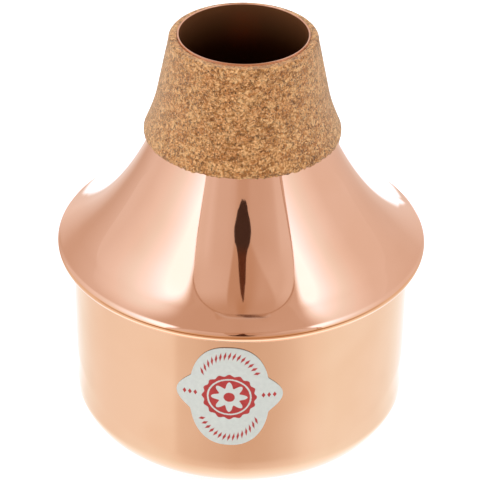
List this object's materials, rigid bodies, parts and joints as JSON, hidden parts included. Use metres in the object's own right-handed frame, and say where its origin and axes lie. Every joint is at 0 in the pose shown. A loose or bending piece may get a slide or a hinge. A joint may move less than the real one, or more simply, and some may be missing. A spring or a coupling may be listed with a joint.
{
  "type": "wah-wah mute",
  "caption": "Spun copper wah-wah mute for a trumpet: flared upper shell with a cork collar, cylindrical bowl with a dished bottom, and a sliding stem with a flared cup.",
  "frame": {"origin": "on the axis of the body, at the surface that the mute stands on", "axes": "+Z along the axis from the bowl to the mouth, -Y towards the side that carries the label"},
  "size_m": [0.102, 0.102, 0.1168],
  "materials": {
    "polished_copper": "spun copper, polished and lacquered",
    "satin_copper": "spun copper, fine satin, lacquered",
    "cork": "agglomerated cork, sanded",
    "label_foil": "silver foil label with red print"
  },
  "bodies": {
    "body": {"upper_shell": "polished_copper", "bowl_shell": "satin_copper", "cork_collar": "cork", "label": "label_foil", "stem_sleeve": "satin_copper"},
    "stem": {"stem_tube": "polished_copper", "stem_cup": "polished_copper"}
  },
  "joints": [
    {"name": "stem_slide", "type": "slide", "parent": "body", "child": "stem", "axis": [0, 0, -1], "range_m": [0, 0.038]}
  ]
}
